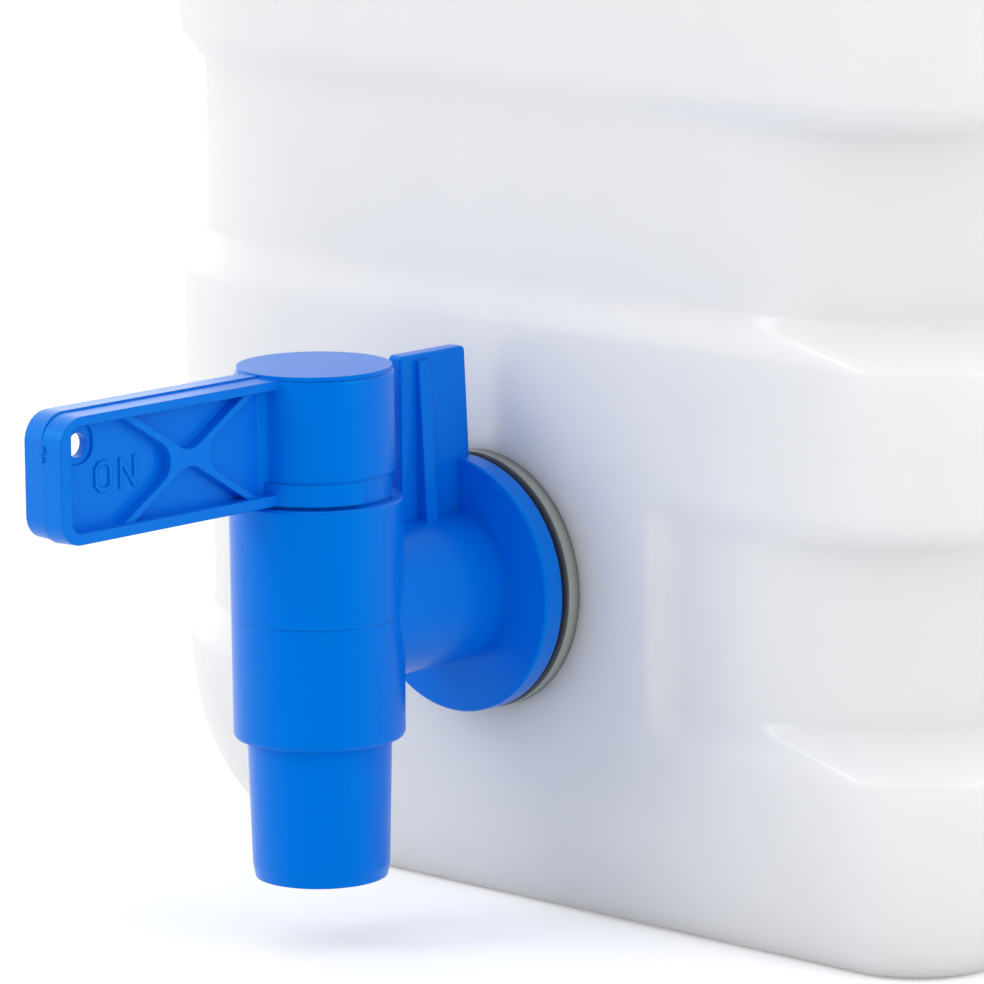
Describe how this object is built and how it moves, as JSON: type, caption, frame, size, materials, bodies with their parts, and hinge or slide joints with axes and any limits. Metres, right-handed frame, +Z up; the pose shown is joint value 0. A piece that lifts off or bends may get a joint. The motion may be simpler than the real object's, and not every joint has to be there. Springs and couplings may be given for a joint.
{
  "type": "carboy with spigot",
  "caption": "Square blow-moulded carboy with grip grooves, a screw cap, moulded grips and a quarter-turn lever spigot at its foot",
  "frame": {"origin": "centre of the base, on the surface that the carboy stands on", "axes": "+Z is up through the neck, the spigot points along -Y, +X is to the right seen from the front"},
  "size_m": [0.202, 0.3055, 0.3242],
  "materials": {
    "tank_plastic": "satin white polyethylene",
    "liner_foam": "matte foam",
    "cap_plastic": "satin",
    "spigot_plastic": "gloss blue",
    "lever_plastic": "gloss blue",
    "seal_rubber": "matte",
    "gasket_rubber": "matte grey",
    "washer_plastic": "matte",
    "nut_plastic": "gloss blue"
  },
  "bodies": {
    "tank": {"carboy_body": "tank_plastic", "spigot_body": "spigot_plastic", "flange_gasket": "gasket_rubber", "inner_washer": "washer_plastic", "lock_nut": "nut_plastic"},
    "lever": {"spigot_lever": "lever_plastic", "upper_plug_seal": "seal_rubber", "lower_plug_seal": "seal_rubber"},
    "liner": {"cap_liner": "liner_foam"},
    "cap": {"screw_cap": "cap_plastic"}
  },
  "joints": [
    {"name": "lever_turn", "type": "hinge", "parent": "tank", "child": "lever", "pos_m": [0, -0.142, 0.0574], "axis": [0, 0, 1], "range_deg": [-90, 90]},
    {"name": "cap_lift", "type": "slide", "parent": "tank", "child": "liner", "axis": [0, 0, 1], "range_m": [0, 0.008]},
    {"name": "cap_turn", "type": "hinge", "parent": "liner", "child": "cap", "pos_m": [0, 0, 0.32], "axis": [0, 0, 1], "range_deg": [0, 720]}
  ],
  "couplings": [
    {"joint": "cap_lift", "follows": "cap_turn", "m_per_rad": 0.00063662}
  ]
}
